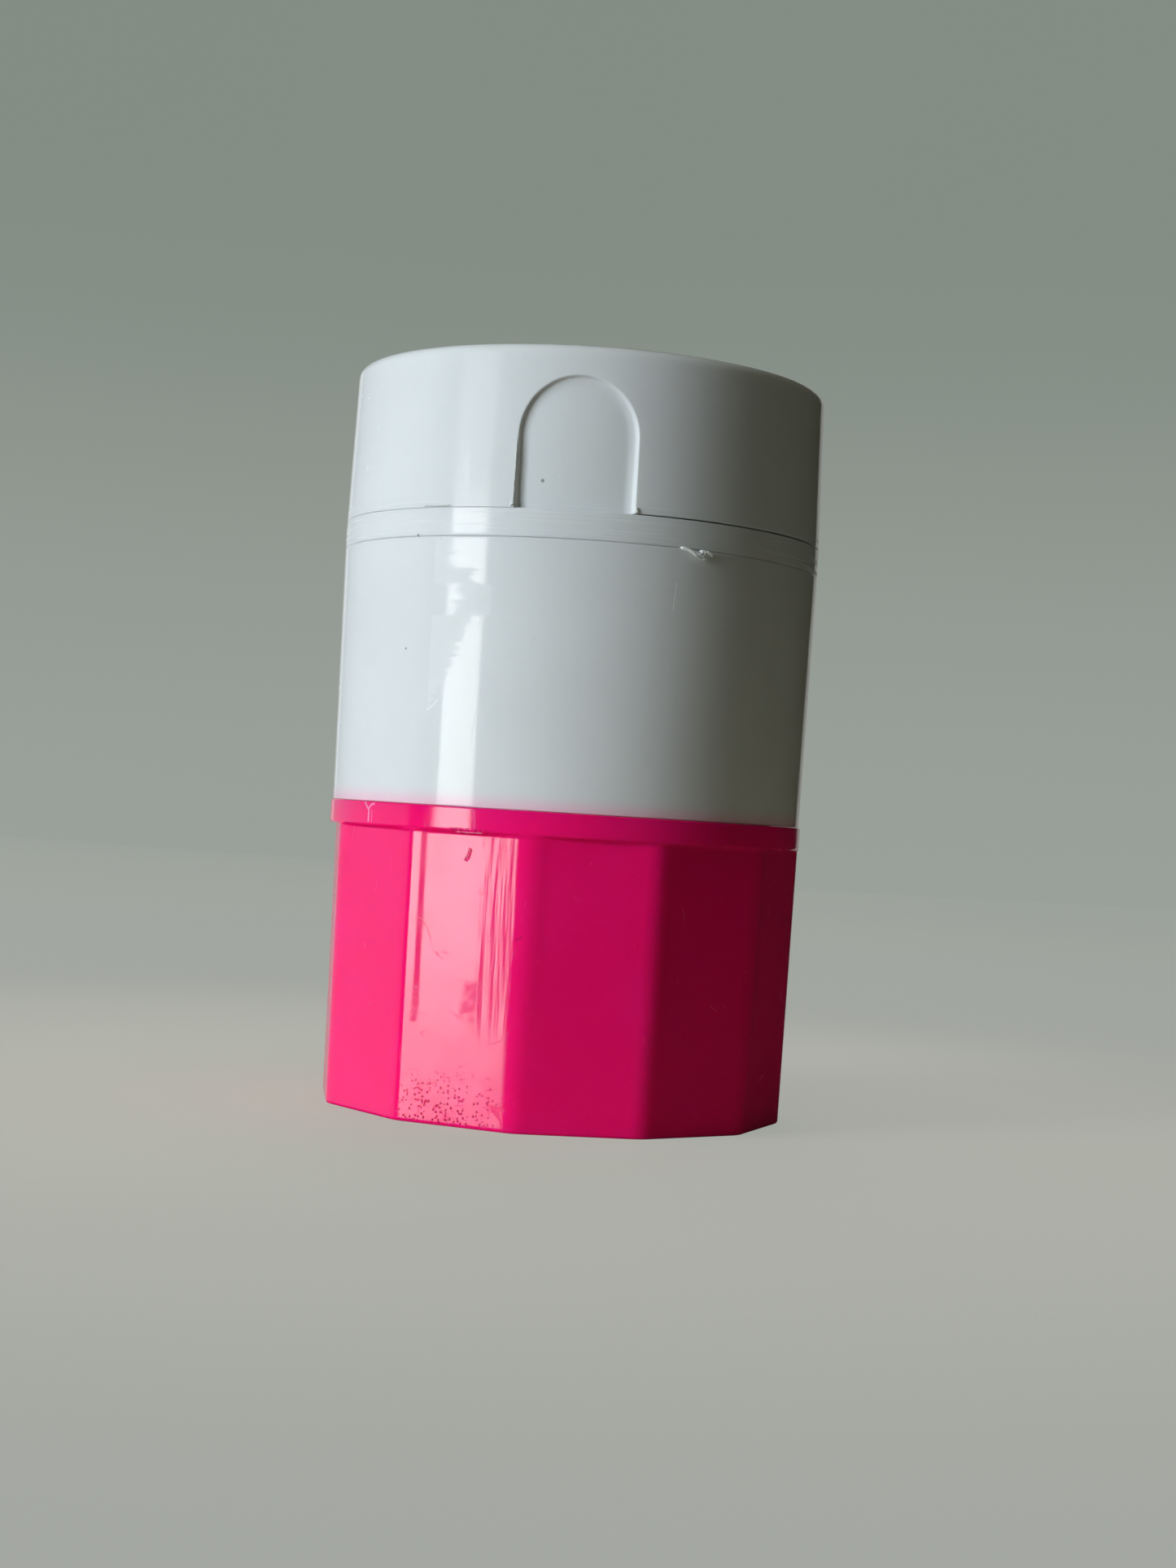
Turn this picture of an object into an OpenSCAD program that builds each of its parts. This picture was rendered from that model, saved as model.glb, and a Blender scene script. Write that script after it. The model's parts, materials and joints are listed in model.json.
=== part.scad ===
// Pill splitter, crusher and store in one stacked round case.
// From the table up: a twelve-sided crushing cup, a storage body whose threaded
// neck is the pestle, a cutter tray that plugs into the body, and a hinged lid
// that carries the blade. Millimetres, +Z up, the axis of the case is Z, the
// thumb recess of the lid faces -Y and the hinge is at +Y.

/* [Case] */
// Outer radius of the case at the rim under the lid
outer_r = 21.5; // [18:0.5:27]
// Height of the faceted grip of the cup
grip_h = 24.6; // [20:0.2:32]
// Height of the round collar on top of the grip
collar_h = 2.1; // [1.6:0.1:4]
// Height of the storage body that shows between cup and rim
body_h = 22.6; // [18:0.2:36]
// Height of the rim of the cutter tray
rim_h = 2.4; // [2.2:0.1:4]
// Height of the lid above the rim
lid_h = 13.6; // [13:0.2:20]

/* [Crushing cup] */
// Number of flats round the grip
facets = 12; // [8:1:12]
// Angle of the first grip edge from the thumb recess, cup screwed home
grip_turn = -5; // [-15:1:15]
// How far the collar stands inside the rim's radius
collar_inset = 0.15; // [0:0.05:0.6]
// Radius that the grip loses from collar to foot
grip_draft = 0.3; // [0:0.05:0.8]
// How much of each grip edge is rounded off
edge_break = 0.12; // [0.05:0.01:0.3]
// Wall of the cup, measured at the middle of a flat at the foot
cup_wall = 2; // [1.6:0.1:3]
// Floor of the cup
cup_floor = 2.6; // [2:0.1:4]

/* [Thread] */
// Rise of the thread in one turn
pitch = 4; // [3.4:0.1:6]
// Height of a thread ridge
ridge_h = 1; // [0.8:0.05:1.4]
// Width of a ridge at its root
ridge_root_w = 1.8; // [1.5:0.05:1.9]
// Width of a ridge at its crest
ridge_crest_w = 0.8; // [0.5:0.05:1]
// Radial clearance between the threaded parts
thread_gap = 0.3; // [0.2:0.05:0.5]
// Turns of the ridge on the neck
neck_turns = 1.5; // [1:0.25:2]
// Turns of the ridge in the cup
cup_turns = 1.5; // [1:0.25:2]

/* [Crushing teeth] */
// Number of radial teeth on each face
teeth = 16; // [10:1:20]
// Height of a tooth
tooth_h = 0.8; // [0.5:0.1:1.2]
// Width of a tooth at its root
tooth_w = 1.4; // [1:0.1:1.6]
// Gap left between the two faces, cup screwed home
crush_gap = 0.4; // [0.3:0.1:1]

/* [Storage body] */
// Wall of the storage body
body_wall = 1.6; // [1.2:0.1:2.4]
// Radius that the body loses from rim to collar
body_draft = 0.3; // [0:0.05:0.6]
// Thickness of the shoulder over the cup
shoulder_t = 2; // [1.6:0.1:3]
// Wall of the neck
neck_wall = 1.6; // [1.2:0.1:2.4]
// Thickness of the pestle at the neck's foot
pestle_t = 2; // [1.6:0.1:4]
// Gap between shoulder and cup, which shows as a fine line
cup_gap = 0.15; // [0.1:0.05:0.4]

/* [Seal] */
// Radial width of the sealing ring
seal_w = 1.5; // [1.2:0.1:2]
// Depth of the ring's seat in the mouth of the cup
seal_depth = 1.2; // [1:0.1:1.6]
// Radial clearance round the ring
seal_gap = 0.1; // [0.05:0.01:0.2]

/* [Cutter tray] */
// Depth of the plug in the storage body
plug_h = 5; // [4:0.5:9]
// Wall of the plug
plug_wall = 1.4; // [1:0.1:2]
// Radial clearance of the plug
plug_gap = 0.2; // [0.1:0.05:0.3]
// Deck thickness
deck_t = 1.8; // [1.6:0.1:3]
// How far the deck lies below the top of the rim
deck_drop = 1; // [0.6:0.1:1.4]
// Height of the spigot that centres the lid
spigot_h = 1.8; // [1.2:0.1:2.4]
// Wall of the spigot
spigot_wall = 1.2; // [1:0.1:1.6]
// Radial clearance between spigot and lid
spigot_gap = 0.3; // [0.2:0.05:0.5]

/* [Pill guide] */
// Thickness of the guide's plate
guide_plate_t = 0.8; // [0.6:0.1:1.2]
// Clearance of the plate inside the spigot
guide_gap = 1.4; // [0.4:0.1:3]
// Height of the two arms above the plate
arm_h = 4; // [3:0.1:4.2]
// Thickness of an arm
arm_t = 1.6; // [1.2:0.1:2.2]
// Angle of each arm from the blade
arm_angle = 30; // [22:1:40]
// Length of an arm
arm_l = 17; // [12:0.5:18]
// Distance of the tip of the V behind the axis
tip_y = 7; // [3:0.5:9]

/* [Lid] */
// Wall of the lid
lid_wall = 1.8; // [1.6:0.1:2.4]
// Top of the lid
lid_top_t = 1.6; // [1.2:0.1:2.4]
// Radius that the lid loses from its edge to its top
lid_draft = 0.3; // [0:0.05:0.6]
// Rounding of the lid's top edge
lid_round = 1.3; // [0.6:0.1:1.5]
// Gap under the edge of the lid
seam_gap = 0.15; // [0.1:0.05:0.3]
// Width of the thumb recess
thumb_w = 10.3; // [8:0.1:14]
// Height of the thumb recess above the rim
thumb_h = 11.3; // [8:0.1:11.4]
// Depth of the thumb recess
thumb_d = 0.7; // [0.4:0.05:0.9]

/* [Hinge] */
// Radius of the steel hinge pin
pin_r = 0.75; // [0.6:0.05:0.9]
// Plastic round the hinge pin
knuckle_wall = 1.05; // [0.8:0.05:1.2]
// Width of the lid's knuckle
lid_knuckle_w = 8; // [6:0.5:10]
// Width of each knuckle of the tray
tray_knuckle_w = 4.8; // [4:0.1:6]
// Running clearance between the knuckles
knuckle_gap = 0.25; // [0.15:0.05:0.4]
// Distance of the pin outside the case
pin_offset = 1.1; // [0.9:0.05:2]

/* [Blade] */
// Length of the blade
blade_l = 23; // [18:0.5:26]
// Thickness of the blade
blade_t = 0.3; // [0.25:0.05:0.5]
// Height of the ground edge
bevel_h = 1.6; // [1:0.1:2.4]
// How far the edge reaches below the deck
cut_depth = 0.5; // [0.3:0.1:0.6]
// Width of the slot that the blade drops into
slot_w = 1.4; // [1:0.1:2]
// Distance between the two blade pins
blade_pin_span = 13; // [10:0.5:16]
// Radius of a blade pin
blade_pin_r = 0.9; // [0.7:0.05:1]
// How far the blade pins lie below the top of the blade
blade_pin_drop = 2.2; // [1.8:0.1:3]

/* [Blade holder] */
// Width of the holder
holder_w = 5.2; // [4:0.1:6]
// Width of the holder's lower lip
lip_w = 2.4; // [2:0.1:3]
// Thickness of the holder above the blade
blade_seat = 2.5; // [1.5:0.1:3]
// Gap between the holder and the arms of the guide
holder_gap = 0.8; // [0.4:0.1:1.2]
// Thickness of the two ribs in the lid that grip the holder
rib_t = 1.1; // [0.8:0.1:1.6]
// How far the two ribs end above the foot of the holder
rib_rise = 1; // [0.6:0.1:1.2]

/* [Hidden] */
$fn = 96;
cut = 1;              // how far a cutting tool runs past a face
fit = 0.03;           // radial clearance of a pin in its own part
hinge_fit = 0.08;     // radial clearance of the hinge pin in the lid
root_bite = 0.4;      // how far a ridge or tooth is rooted in its wall
ridge_steps = 24;     // segments of a thread ridge in one turn
ridge_fade = 45;      // degrees over which a ridge rises from its wall
ridge_margin = 0.2;   // plain wall between a ridge and the end of its bore
plain_hub_r = 2.4;    // middle of a crushing face, without teeth
tooth_margin = 1.2;   // plain ring outside the teeth
soft_edge = 0.3;      // small chamfers on moulded edges
slot_margin = 0.7;    // slot past each end of the blade
holder_margin = 1;    // holder past each end of the blade
rib_margin = 0.5;     // rib past each end of the holder
rib_gap = 0.1;        // clearance between holder and rib

// heights
collar_z = grip_h;
cup_top = collar_z + collar_h;
shoulder_z = cup_top + cup_gap;
rim_z = cup_top + body_h;
seam_z = rim_z + rim_h;
lid_z = seam_z + seam_gap;
top_z = seam_z + lid_h;
lid_ceiling = top_z - lid_top_t;
seal_z = cup_top - seal_depth;
pestle_z = cup_floor + 2 * tooth_h + crush_gap;
deck_z = seam_z - deck_drop;
guide_z = deck_z + guide_plate_t;
edge_z = deck_z - cut_depth;
holder_z = guide_z + arm_h + holder_gap;
rib_z = holder_z + rib_rise;
blade_top = lid_ceiling - blade_seat;
blade_pin_z = blade_top - blade_pin_drop;

// radii
collar_r = outer_r - collar_inset;
grip_foot_r = collar_r - grip_draft;
bore_r = grip_foot_r * cos(180 / facets) - cup_wall;
neck_r = bore_r - ridge_h - thread_gap;
neck_bore_r = neck_r - neck_wall;
seal_in_r = neck_r + seal_gap;
seal_out_r = seal_in_r + seal_w;
seal_seat_r = seal_out_r + seal_gap;
body_foot_r = outer_r - body_draft;
body_bore_r = body_foot_r - body_wall;
plug_r = body_bore_r - plug_gap;
lid_bore_r = outer_r - lid_wall;
lid_top_r = outer_r - lid_draft;
spigot_r = lid_bore_r - spigot_gap;
spigot_bore_r = spigot_r - spigot_wall;
guide_r = spigot_bore_r - guide_gap;
knuckle_r = pin_r + knuckle_wall;
pin_y = outer_r + pin_offset;
pin_l = lid_knuckle_w + 2 * (knuckle_gap + tray_knuckle_w);
tooth_outer_r = neck_r - tooth_margin;
slot_l = blade_l + 2 * slot_margin;
holder_l = blade_l + 2 * holder_margin;
rib_x = holder_w / 2 + rib_gap;
rib_l = holder_l + 2 * rib_margin;
ridge_z = seal_z - ridge_margin - ridge_root_w / 2;

// A tube from z to z + h.
module tube(r, bore, h, z = 0) {
    translate([0, 0, z])
        difference() {
            cylinder(r = r, h = h);
            translate([0, 0, -cut]) cylinder(r = bore, h = h + 2 * cut);
        }
}

// A rod or cutting tool along X, centred on x = 0, at the given Y and Z.
module cross_rod(r, l, y, z) {
    translate([-l / 2, y, z]) rotate([0, 90, 0]) cylinder(r = r, h = l);
}

// A helical ridge whose root sits in a wall of radius root_r and whose crest reaches
// crest_r. It starts at height z and fades out of the wall at both ends.
module thread_ridge(root_r, crest_r, z, turns) {
    side = sign(crest_r - root_r);
    last = round(turns * ridge_steps);
    step = 360 / ridge_steps;
    function rise(i) = min(1, i * step / ridge_fade, (last - i) * step / ridge_fade);
    function section(i) =
        let (crest = root_r + (crest_r - root_r) * rise(i), mid = z + pitch * i / ridge_steps,
             half_crest = (ridge_crest_w + (ridge_root_w - ridge_crest_w) * (1 - rise(i))) / 2)
        [[root_r - side * root_bite, mid - ridge_root_w / 2], [crest, mid - half_crest],
         [crest, mid + half_crest], [root_r - side * root_bite, mid + ridge_root_w / 2]];
    points = [for (i = [0:last], p = section(i))
        [p[0] * cos(i * step), p[0] * sin(i * step), p[1]]];
    skin = [for (i = [0:last - 1], k = [0:3])
        let (a = 4 * i + k, b = 4 * i + (k + 1) % 4)
        each [[a, a + 4, b + 4], [a, b + 4, b]]];
    ends = [[0, 1, 2], [0, 2, 3],
            [4 * last, 4 * last + 2, 4 * last + 1], [4 * last, 4 * last + 3, 4 * last + 2]];
    faces = concat(skin, ends);
    polyhedron(points, side < 0 ? faces : [for (f = faces) [f[0], f[2], f[1]]]);
}

// A ring of radial teeth that stand up from z = 0.
module crushing_teeth() {
    for (i = [0:teeth - 1])
        rotate([0, 0, i * 360 / teeth])
            translate([plain_hub_r, 0, 0])
                rotate([90, 0, 90])
                    linear_extrude(tooth_outer_r - plain_hub_r)
                        polygon([[-tooth_w / 2, -root_bite], [tooth_w / 2, -root_bite],
                                 [tooth_w / 2, 0], [0, tooth_h], [-tooth_w / 2, 0]]);
}

// The faceted outside of the cup, with its edges broken.
module grip() {
    rotate([0, 0, grip_turn - 90])
        intersection() {
            cylinder(r1 = grip_foot_r, r2 = grip_foot_r + grip_draft, h = grip_h, $fn = facets);
            cylinder(r1 = grip_foot_r - edge_break, r2 = grip_foot_r + grip_draft - edge_break,
                     h = grip_h);
        }
}

module crusher_cup() {
    color("deeppink") {
        difference() {
            union() {
                grip();
                translate([0, 0, collar_z]) cylinder(r = collar_r, h = collar_h - soft_edge);
                translate([0, 0, cup_top - soft_edge])
                    cylinder(r1 = collar_r, r2 = collar_r - soft_edge, h = soft_edge);
            }
            translate([0, 0, cup_floor]) cylinder(r = bore_r, h = cup_top);
            translate([0, 0, seal_z]) cylinder(r = seal_seat_r, h = seal_depth + cut);
        }
        thread_ridge(bore_r, bore_r - ridge_h, ridge_z - pitch * cup_turns, cup_turns);
        translate([0, 0, cup_floor]) crushing_teeth();
    }
}

module cup_seal() {
    color("lightgray") tube(seal_out_r, seal_in_r, shoulder_z - seal_z, seal_z);
}

module storage_body() {
    color("white") {
        difference() {
            union() {
                translate([0, 0, shoulder_z])
                    cylinder(r1 = body_foot_r, r2 = outer_r, h = rim_z - shoulder_z);
                translate([0, 0, pestle_z]) cylinder(r = neck_r, h = shoulder_z - pestle_z + cut);
            }
            translate([0, 0, shoulder_z + shoulder_t]) cylinder(r = body_bore_r, h = body_h);
            translate([0, 0, pestle_z + pestle_t]) cylinder(r = neck_bore_r, h = top_z);
        }
        thread_ridge(neck_r, neck_r + ridge_h, ridge_z - pitch * (neck_turns + 0.5), neck_turns);
        translate([0, 0, pestle_z])
            mirror([0, 0, 1]) rotate([0, 0, 180 / teeth]) crushing_teeth();
    }
}

// The two tray knuckles and the webs that carry them.
module tray_knuckles() {
    for (side = [-1, 1])
        translate([side * (lid_knuckle_w + 2 * knuckle_gap + tray_knuckle_w) / 2, 0, 0]) {
            cross_rod(knuckle_r, tray_knuckle_w, pin_y, seam_z);
            translate([-tray_knuckle_w / 2, spigot_bore_r, rim_z])
                cube([tray_knuckle_w, pin_y - spigot_bore_r, rim_h]);
        }
}

module cutter_tray() {
    color("whitesmoke")
        difference() {
            union() {
                translate([0, 0, rim_z]) cylinder(r = outer_r, h = rim_h);
                translate([0, 0, rim_z - plug_h + soft_edge])
                    cylinder(r = plug_r, h = plug_h + rim_h - soft_edge);
                translate([0, 0, rim_z - plug_h])
                    cylinder(r1 = plug_r - soft_edge, r2 = plug_r, h = soft_edge);
                translate([0, 0, rim_z]) cylinder(r = spigot_r, h = rim_h + spigot_h);
                tray_knuckles();
            }
            translate([0, 0, deck_z]) cylinder(r = spigot_bore_r, h = lid_h);
            translate([0, 0, rim_z - plug_h - cut])
                cylinder(r = plug_r - plug_wall, h = deck_z - deck_t - rim_z + plug_h + cut);
            translate([-slot_w / 2, -slot_l / 2, (deck_z + edge_z) / 2 - cut_depth])
                cube([slot_w, slot_l, lid_h]);
            cross_rod(knuckle_r + knuckle_gap, lid_knuckle_w + 2 * knuckle_gap, pin_y, seam_z);
            cross_rod(pin_r + fit, pin_l + 2 * cut, pin_y, seam_z);
        }
}

// One arm of the V, standing on the plate and leaving the slot clear.
module guide_arm() {
    translate([slot_w / 2, tip_y, deck_z])
        rotate([0, 0, arm_angle])
            translate([0, -arm_l, 0]) cube([arm_t, arm_l, guide_plate_t + arm_h]);
}

module pill_guide() {
    color("gainsboro")
        difference() {
            union() {
                translate([0, 0, deck_z]) cylinder(r = guide_r, h = guide_plate_t);
                intersection() {
                    union() {
                        guide_arm();
                        mirror([1, 0, 0]) guide_arm();
                    }
                    translate([0, 0, deck_z]) cylinder(r = guide_r, h = guide_plate_t + arm_h);
                }
            }
            translate([-slot_w / 2, -slot_l / 2, deck_z - cut]) cube([slot_w, slot_l, lid_h]);
        }
}

module hinge_pin() {
    color("silver") cross_rod(pin_r, pin_l, pin_y, seam_z);
}

// Half of the lid's outline, revolved: drafted side, rounded top edge.
module lid_blank() {
    rotate_extrude() {
        polygon([[0, lid_z], [outer_r, lid_z], [lid_top_r, top_z - lid_round],
                 [lid_top_r - lid_round, top_z], [0, top_z]]);
        intersection() {
            translate([lid_top_r - lid_round, top_z - lid_round]) circle(r = lid_round);
            translate([lid_top_r - lid_round, top_z - lid_round]) square(lid_round);
        }
    }
}

// The arched thumb recess: a shallow band of the wall, cut to an arch at the front.
module thumb_recess() {
    arch_z = seam_z + thumb_h - thumb_w / 2;
    intersection() {
        tube(outer_r + cut, outer_r - thumb_d, thumb_h + cut, seam_z - cut);
        union() {
            translate([-thumb_w / 2, -outer_r - cut, seam_z - cut])
                cube([thumb_w, outer_r, arch_z - seam_z + cut]);
            translate([0, 0, arch_z]) rotate([90, 0, 0]) cylinder(r = thumb_w / 2, h = outer_r + cut);
        }
    }
}

module lid_shell() {
    web_y = lid_bore_r + lid_wall / 2;
    color("white")
        difference() {
            union() {
                difference() {
                    lid_blank();
                    translate([0, 0, seam_z - cut])
                        cylinder(r = lid_bore_r, h = lid_ceiling - seam_z + cut);
                    thumb_recess();
                    for (side = [-1, 1])
                        translate([side * pin_l / 2, 0, 0])
                            cross_rod(knuckle_r + knuckle_gap, pin_l - lid_knuckle_w,
                                      pin_y, seam_z);
                }
                for (side = [-1, 1])
                    translate([side * (rib_x + rib_t / 2) - rib_t / 2, -rib_l / 2, rib_z])
                        cube([rib_t, rib_l, lid_ceiling + lid_top_t / 2 - rib_z]);
                cross_rod(knuckle_r, lid_knuckle_w, pin_y, seam_z);
                translate([-lid_knuckle_w / 2, web_y, lid_z])
                    cube([lid_knuckle_w, pin_y - web_y, knuckle_r - seam_gap]);
            }
            cross_rod(pin_r + hinge_fit, lid_knuckle_w + 2 * cut, pin_y, seam_z);
            for (side = [-1, 1])
                cross_rod(blade_pin_r + fit, 2 * (rib_x + rib_t + cut),
                          side * blade_pin_span / 2, blade_pin_z);
        }
}

module blade_holder() {
    color("gainsboro")
        difference() {
            translate([0, holder_l / 2, 0])
                rotate([90, 0, 0])
                    linear_extrude(holder_l)
                        polygon([[-holder_w / 2, lid_ceiling], [-holder_w / 2, rib_z],
                                 [-lip_w / 2, holder_z], [lip_w / 2, holder_z],
                                 [holder_w / 2, rib_z], [holder_w / 2, lid_ceiling]]);
            translate([-blade_t / 2 - fit, -blade_l / 2 - fit, holder_z - cut])
                cube([blade_t + 2 * fit, blade_l + 2 * fit, blade_top - holder_z + cut + fit]);
            for (side = [-1, 1])
                cross_rod(blade_pin_r + fit, holder_w + 2 * cut,
                          side * blade_pin_span / 2, blade_pin_z);
        }
}

module blade() {
    tip_t = 0.04;
    color("lightsteelblue")
        difference() {
            translate([0, blade_l / 2, 0])
                rotate([90, 0, 0])
                    linear_extrude(blade_l)
                        polygon([[-blade_t / 2, blade_top], [-blade_t / 2, edge_z + bevel_h],
                                 [-tip_t / 2, edge_z], [tip_t / 2, edge_z],
                                 [blade_t / 2, edge_z + bevel_h], [blade_t / 2, blade_top]]);
            for (side = [-1, 1])
                cross_rod(blade_pin_r + fit, blade_t + 2 * cut,
                          side * blade_pin_span / 2, blade_pin_z);
        }
}

module blade_pins() {
    color("silver")
        for (side = [-1, 1])
            cross_rod(blade_pin_r, 2 * (rib_x + rib_t), side * blade_pin_span / 2, blade_pin_z);
}

crusher_cup();
cup_seal();
storage_body();
cutter_tray();
pill_guide();
hinge_pin();
lid_shell();
blade_holder();
blade();
blade_pins();
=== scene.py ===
import json
import math
import bpy
import numpy as np
from mathutils import Matrix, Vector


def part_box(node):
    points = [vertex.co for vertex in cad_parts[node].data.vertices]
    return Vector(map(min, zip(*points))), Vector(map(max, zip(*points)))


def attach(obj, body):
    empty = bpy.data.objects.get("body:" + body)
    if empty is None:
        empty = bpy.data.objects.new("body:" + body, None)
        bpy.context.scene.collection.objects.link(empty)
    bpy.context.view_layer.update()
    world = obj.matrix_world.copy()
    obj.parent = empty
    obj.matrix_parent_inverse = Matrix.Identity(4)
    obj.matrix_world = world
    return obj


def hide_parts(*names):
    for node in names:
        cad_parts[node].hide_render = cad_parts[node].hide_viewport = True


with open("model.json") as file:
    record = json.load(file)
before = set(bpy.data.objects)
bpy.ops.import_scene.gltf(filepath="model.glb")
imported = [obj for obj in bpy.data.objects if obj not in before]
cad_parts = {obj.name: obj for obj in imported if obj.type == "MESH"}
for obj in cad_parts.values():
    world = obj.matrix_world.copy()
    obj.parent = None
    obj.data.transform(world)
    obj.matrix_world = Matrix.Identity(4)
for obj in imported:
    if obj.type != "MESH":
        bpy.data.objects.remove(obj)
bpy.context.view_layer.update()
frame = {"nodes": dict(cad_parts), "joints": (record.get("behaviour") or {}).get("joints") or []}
nodes = frame["nodes"]
mm = 0.001


def spanOf(node):
    low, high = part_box(node)
    return np.array(low) / mm, np.array(high) / mm


def newObject(name, data):
    made = bpy.data.objects.new(name, data)
    bpy.context.scene.collection.objects.link(made)
    return made


def bakedMesh(piece):
    # The mesh that a piece's modifiers leave
    depsgraph = bpy.context.evaluated_depsgraph_get()
    return bpy.data.meshes.new_from_object(piece.evaluated_get(depsgraph), depsgraph=depsgraph)


# Heights and radii of the case in millimetres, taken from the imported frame
joints = {j["name"]: j for j in frame["joints"]}
pinY = joints["lid_hinge"]["pos_m"][1] / mm
seamZ = joints["lid_hinge"]["pos_m"][2] / mm
outerR = spanOf("cutter_tray")[1][0]
collarTop = spanOf("crusher_cup")[1][2]
shoulderZ = spanOf("cup_seal")[1][2]
rimZ = spanOf("storage_body")[1][2]
deckZ = spanOf("pill_guide")[0][2]
lidTop = spanOf("lid_shell")[1][2]
pinR = (spanOf("hinge_pin")[1][2] - spanOf("hinge_pin")[0][2]) / 2
pinHalf = spanOf("hinge_pin")[1][0]
perDegree = math.pi / 180 * outerR  # round the wall
print("frame loaded, case is", round(lidTop, 1), "mm tall")


# Node trees

class Wire:
    # A socket of a node tree that sums can be written on, or the tree alone
    def __init__(self, tree, socket=None):
        self.tree = tree
        self.socket = socket

    def add(self, kind, settings=None, inputs=None, output=0):
        made = self.tree.nodes.new(kind)
        for name, given in (settings or {}).items():
            setattr(made, name, given)
        for key, given in (inputs or {}).items():
            if isinstance(given, Wire):
                self.tree.links.new(given.socket, made.inputs[key])
            else:
                made.inputs[key].default_value = given
        return Wire(self.tree, made.outputs[output])

    def other(self, output):
        return Wire(self.tree, self.socket.node.outputs[output])

    def sum(self, operation, *terms):
        return self.add("ShaderNodeMath", {"operation": operation}, dict(enumerate(terms)))

    def __add__(self, term):
        return self.sum("ADD", self, term)

    def __radd__(self, term):
        return self.sum("ADD", term, self)

    def __sub__(self, term):
        return self.sum("SUBTRACT", self, term)

    def __rsub__(self, term):
        return self.sum("SUBTRACT", term, self)

    def __mul__(self, term):
        return self.sum("MULTIPLY", self, term)

    def __rmul__(self, term):
        return self.sum("MULTIPLY", term, self)

    def __truediv__(self, term):
        return self.sum("DIVIDE", self, term)

    def __pow__(self, term):
        return self.sum("POWER", self, term)

    def __abs__(self):
        return self.sum("ABSOLUTE", self)


def mask(value, low, high):
    # 0 at low, 1 at high, with soft ends; low may be the larger
    if low > high:
        return 1 - mask(value, high, low)
    return value.add("ShaderNodeMapRange", {"interpolation_type": "SMOOTHSTEP"},
                     {"Value": value, "From Min": low, "From Max": high})


def band(value, low, lowFull, highFull, high):
    # 1 from lowFull to highFull, and 0 past low and high
    return mask(value, low, lowFull) * mask(value, high, highFull)


def blend(amount, first, second):
    def filled(colour):
        return colour if isinstance(colour, Wire) else (*colour, 1)
    return amount.add("ShaderNodeMix", {"data_type": "RGBA"},
                      {0: amount, 6: filled(first), 7: filled(second)}, output=2)


def noise(place, scale, detail=2.0, stretch=None, distortion=0.0):
    if stretch:
        place = place.add("ShaderNodeVectorMath", {"operation": "MULTIPLY"}, {0: place, 1: stretch})
    return place.add("ShaderNodeTexNoise", {"noise_dimensions": "3D"},
                     {"Vector": place, "Scale": scale, "Detail": detail, "Distortion": distortion})


def hairlines(place, scale, stretch, width):
    # Broken hair-thin scratches: contour lines of a stretched noise, cut up by a second one
    line = mask(abs(noise(place, scale, 1.5, stretch, 0.4) - 0.5), width, width * 0.3)
    return line * mask(noise(place, scale * 2.3, 1.0), 0.52, 0.62)


class Finish:
    # A material under way: its tree, the place on the piece in millimetres, and what feeds the shader
    def __init__(self, name, constants):
        self.material = bpy.data.materials.new(name)
        self.material.use_nodes = True
        self.tree = Wire(self.material.node_tree)
        self.shader = self.material.node_tree.nodes["Principled BSDF"]
        for socket, given in constants.items():
            self.shader.inputs[socket].default_value = given
        metres = self.tree.add("ShaderNodeTexCoord", output="Object")
        self.place = metres.add("ShaderNodeMapping", {}, {"Vector": metres, "Scale": (1 / mm,) * 3})
        self.x = self.place.add("ShaderNodeSeparateXYZ", {}, {0: self.place})
        self.y = self.x.other("Y")
        self.z = self.x.other("Z")
        self.turn = self.x.sum("ARCTAN2", self.x, 0 - self.y) * (180 / math.pi)

    def noise(self, *given):
        return noise(self.place, *given)

    def scratches(self, *given):
        return hairlines(self.place, *given)

    def spot(self, turn, height, radius):
        # A small round mark on the wall of the case
        across = (self.turn - turn) * perDegree
        up = self.z - height
        return mask((across * across + up * up) ** 0.5, radius, radius * 0.5)

    def stroke(self, turnA, heightA, turnB, heightB, width, bow=0.0):
        # A scratch between two places on the wall, bowed sideways by a few tenths
        runX, runZ = (turnB - turnA) * perDegree, heightB - heightA
        length = math.hypot(runX, runZ)
        across = (self.turn - turnA) * perDegree
        up = self.z - heightA
        along = (across * (runX / length) + up * (runZ / length)) / length
        aside = across * (runZ / length) - up * (runX / length) - along * (1 - along) * (4 * bow)
        return mask(abs(aside), width, width * 0.3) * band(along, -0.02, 0.06, 0.94, 1.02)

    def connect(self, colour, roughness, height):
        for socket, wire in (("Base Color", colour), ("Roughness", roughness)):
            self.material.node_tree.links.new(wire.socket, self.shader.inputs[socket])
        bump = self.tree.add("ShaderNodeBump", {}, {"Distance": mm, "Height": height})
        self.material.node_tree.links.new(bump.socket, self.shader.inputs["Normal"])
        return self.material


# White polypropylene of the body, tray and lid, with the strength of pink bounce light painted on the
# wall's foot
white = {"colour": (0.69, 0.705, 0.71), "shade": (0.665, 0.68, 0.685), "roughness": 0.08,
         "turning": 0.00045, "waves": 0.010, "grain": 0.00035, "paintedPinkBounce": 0.42, "dull": 0.30}


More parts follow.
